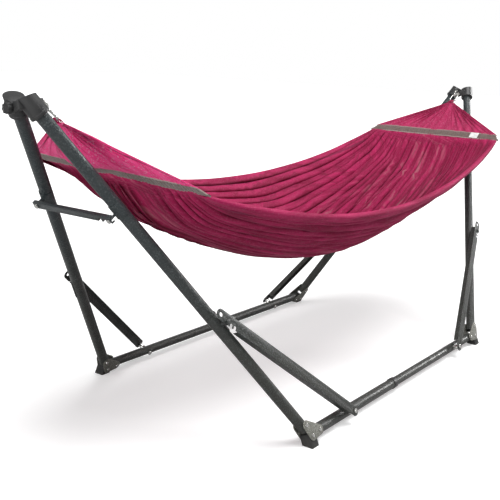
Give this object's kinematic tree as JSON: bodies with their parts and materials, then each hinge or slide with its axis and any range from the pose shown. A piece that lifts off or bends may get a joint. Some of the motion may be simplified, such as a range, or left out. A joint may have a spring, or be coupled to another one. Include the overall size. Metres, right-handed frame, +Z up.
{
  "type": "hammock on stand",
  "caption": "Cloth hammock hung between the eye bolts of a folding tubular steel stand with telescoping base, hooked braces and hooked spreader bars.",
  "frame": {"origin": "centre of the stand on the floor", "axes": "+X along the stand, +Y across it away from the near side frame, +Z up"},
  "size_m": [3.01, 1.0424, 1.1247],
  "materials": {
    "powder_coated_steel": "dark grey hammered powder coat",
    "grey_plate": "olive-grey powder coat",
    "zinc_hardware": "zinc plated",
    "rubber": "matt",
    "black_plastic": "fine matt",
    "magenta_cloth": "knitted polyester",
    "brown_webbing": "woven tape",
    "label_cloth": "plain white tape"
  },
  "bodies": {
    "far_left": {"leg_far_left": "powder_coated_steel", "hub_far_left": "black_plastic", "foot_plates_far_left": "grey_plate", "foot_rivets_far_left": "zinc_hardware", "rubber_foot_far_left": "rubber", "brace_bolt_far_left": "zinc_hardware", "brace_catch_far_left": "grey_plate", "base_inner_far": "powder_coated_steel", "spreader_pivot_left": "zinc_hardware", "hub_knob_left": "black_plastic", "eye_bolt_left": "zinc_hardware"},
    "near_left": {"leg_near_left": "powder_coated_steel", "hub_near_left": "black_plastic", "foot_plates_near_left": "grey_plate", "foot_rivets_near_left": "zinc_hardware", "rubber_foot_near_left": "rubber", "brace_bolt_near_left": "zinc_hardware", "brace_catch_near_left": "grey_plate", "base_outer_near": "powder_coated_steel", "collar_near": "black_plastic", "spreader_catch_left": "grey_plate"},
    "near_right": {"leg_near_right": "powder_coated_steel", "hub_near_right": "black_plastic", "foot_plates_near_right": "grey_plate", "foot_rivets_near_right": "zinc_hardware", "rubber_foot_near_right": "rubber", "brace_bolt_near_right": "zinc_hardware", "brace_catch_near_right": "grey_plate", "base_inner_near": "powder_coated_steel", "spreader_pivot_right": "zinc_hardware"},
    "far_right": {"leg_far_right": "powder_coated_steel", "hub_far_right": "black_plastic", "foot_plates_far_right": "grey_plate", "foot_rivets_far_right": "zinc_hardware", "rubber_foot_far_right": "rubber", "brace_bolt_far_right": "zinc_hardware", "brace_catch_far_right": "grey_plate", "base_outer_far": "powder_coated_steel", "collar_far": "black_plastic", "spreader_catch_right": "grey_plate", "hub_knob_right": "black_plastic", "eye_bolt_right": "zinc_hardware"},
    "brace_far_left": {"brace_far_left": "powder_coated_steel"},
    "brace_near_left": {"brace_near_left": "powder_coated_steel"},
    "brace_near_right": {"brace_near_right": "powder_coated_steel"},
    "brace_far_right": {"brace_far_right": "powder_coated_steel"},
    "spreader_bar_left": {"spreader_left": "powder_coated_steel"},
    "spreader_bar_right": {"spreader_right": "powder_coated_steel"},
    "hammock": {"carabiner_left": "zinc_hardware", "end_loops_left": "magenta_cloth", "end_panel_left": "magenta_cloth", "band_left": "brown_webbing", "hammock_bed": "magenta_cloth"},
    "hammock_right": {"carabiner_right": "zinc_hardware", "end_loops_right": "magenta_cloth", "end_panel_right": "magenta_cloth", "band_right": "brown_webbing", "care_label": "label_cloth"},
    "gate_left": {"gate_left": "zinc_hardware"},
    "gate_right": {"gate_right": "zinc_hardware"}
  },
  "joints": [
    {"name": "splay_fold", "type": "hinge", "parent": "far_left", "child": "near_left", "pos_m": [-1.44703, 0, 1.083], "axis": [1, 0, 0], "range_deg": [0, 44]},
    {"name": "base_slide", "type": "slide", "parent": "far_left", "child": "far_right", "axis": [1, 0, 0], "range_m": [-0.15, 0], "deforming": ["hammock_bed"]},
    {"name": "base_slide_near", "type": "slide", "parent": "near_left", "child": "near_right", "axis": [1, 0, 0], "range_m": [-0.15, 0]},
    {"name": "spreader_left_lift", "type": "hinge", "parent": "far_left", "child": "spreader_bar_left", "pos_m": [-1.24267, 0.14929, 0.81017], "axis": [-0.8132, 0, -0.5819], "range_deg": [0, 66]},
    {"name": "spreader_right_lift", "type": "hinge", "parent": "near_right", "child": "spreader_bar_right", "pos_m": [1.24267, -0.14929, 0.81017], "axis": [0.8132, 0, -0.5819], "range_deg": [0, 66]},
    {"name": "brace_far_left_lift", "type": "hinge", "parent": "far_left", "child": "brace_far_left", "pos_m": [-0.454, 0.471, 0.035], "axis": [0, 0.9236, 0.3833], "range_deg": [0, 20]},
    {"name": "brace_near_left_lift", "type": "hinge", "parent": "near_left", "child": "brace_near_left", "pos_m": [-0.454, -0.471, 0.035], "axis": [0, 0.9236, -0.3833], "range_deg": [0, 20]},
    {"name": "brace_near_right_lift", "type": "hinge", "parent": "near_right", "child": "brace_near_right", "pos_m": [0.454, -0.471, 0.035], "axis": [0, -0.9236, 0.3833], "range_deg": [0, 20]},
    {"name": "brace_far_right_lift", "type": "hinge", "parent": "far_right", "child": "brace_far_right", "pos_m": [0.454, 0.471, 0.035], "axis": [0, -0.9236, -0.3833], "range_deg": [0, 20]},
    {"name": "hammock_swing", "type": "hinge", "parent": "far_left", "child": "hammock", "pos_m": [-1.38203, 0, 1.083], "axis": [1, 0, 0], "range_deg": [-12, 12]},
    {"name": "hammock_slide", "type": "slide", "parent": "hammock", "child": "hammock_right", "axis": [1, 0, 0], "range_m": [-0.15, 0]},
    {"name": "gate_left_open", "type": "hinge", "parent": "hammock", "child": "gate_left", "pos_m": [-1.35246, 0.015, 1.0601], "axis": [0.6124, 0, 0.7905], "range_deg": [0, 24], "stiffness_Nm_per_rad": 0.03},
    {"name": "gate_right_open", "type": "hinge", "parent": "hammock_right", "child": "gate_right", "pos_m": [1.35246, 0.015, 1.0601], "axis": [0.6124, 0, -0.7905], "range_deg": [0, 24], "stiffness_Nm_per_rad": 0.03}
  ],
  "couplings": [
    {"joint": "base_slide_near", "follows": "base_slide", "ratio": 1},
    {"joint": "hammock_slide", "follows": "base_slide", "ratio": 1},
    {"joint": "spreader_left_lift", "follows": "splay_fold", "ratio": 1.5},
    {"joint": "spreader_right_lift", "follows": "splay_fold", "ratio": 1.5}
  ]
}
